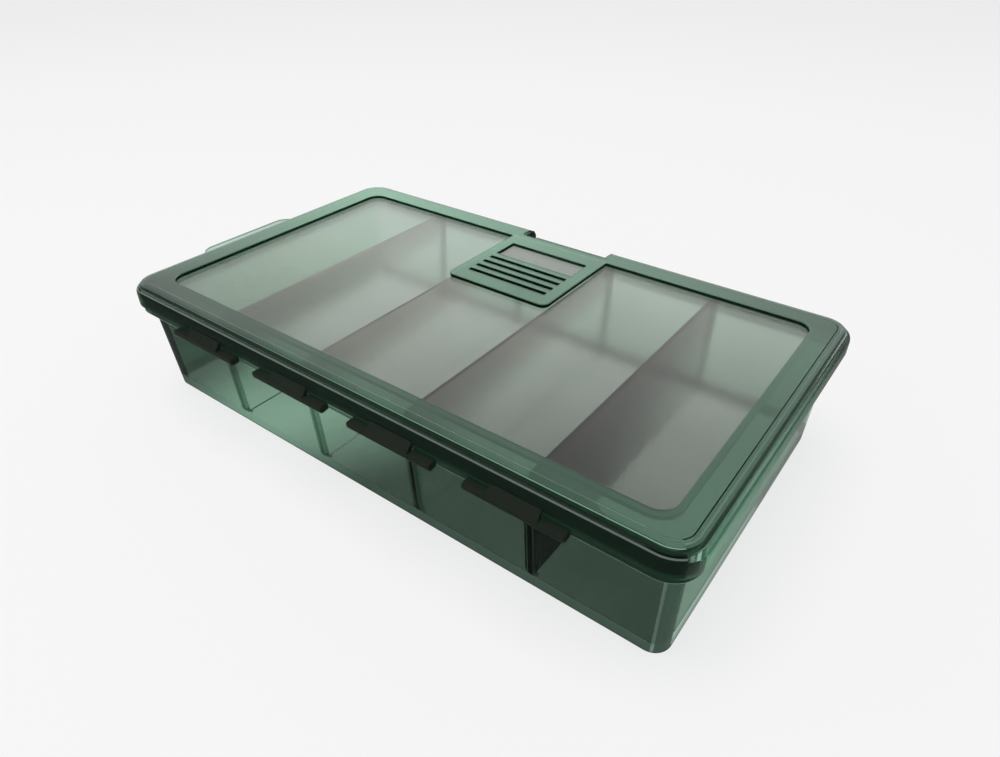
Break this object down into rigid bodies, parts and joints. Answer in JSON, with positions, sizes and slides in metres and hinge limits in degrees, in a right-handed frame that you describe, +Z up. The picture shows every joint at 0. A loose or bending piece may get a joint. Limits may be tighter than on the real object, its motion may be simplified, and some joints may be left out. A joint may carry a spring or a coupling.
{
  "type": "tackle box",
  "caption": "Flat tackle box with divided bays, a hinged lid with a frosted window, a front buckle latch and a side ear for a lanyard.",
  "frame": {"origin": "centre of the flat foot that the tray rests on", "axes": "+X along the box towards the ear, -Y towards the latch, +Y towards the hinges, +Z up"},
  "size_m": [0.2213, 0.1246, 0.0418],
  "materials": {
    "tray_plastic": "translucent dark green, smooth and glossy",
    "divider_plastic": "translucent grey green, fine satin",
    "lid_plastic": "translucent dark green, glossy border with a frosted window",
    "latch_plastic": "dark green, glossy",
    "pin_steel": "drawn wire"
  },
  "bodies": {
    "tray": {"tray": "tray_plastic", "divider_1": "divider_plastic", "divider_2": "divider_plastic", "divider_3": "divider_plastic", "divider_4": "divider_plastic", "hinge_pin_1": "pin_steel", "hinge_pin_2": "pin_steel", "hinge_pin_3": "pin_steel", "hinge_pin_4": "pin_steel"},
    "lid": {"lid": "lid_plastic", "latch_pin": "pin_steel"},
    "latch": {"latch": "latch_plastic"}
  },
  "joints": [
    {"name": "lid_hinge", "type": "hinge", "parent": "tray", "child": "lid", "pos_m": [0, 0.0607, 0.03275], "axis": [-1, 0, 0], "range_deg": [0, 180]},
    {"name": "latch_hinge", "type": "hinge", "parent": "lid", "child": "latch", "pos_m": [0, -0.057, 0.0366], "axis": [-1, 0, 0], "range_deg": [0, 100]}
  ]
}
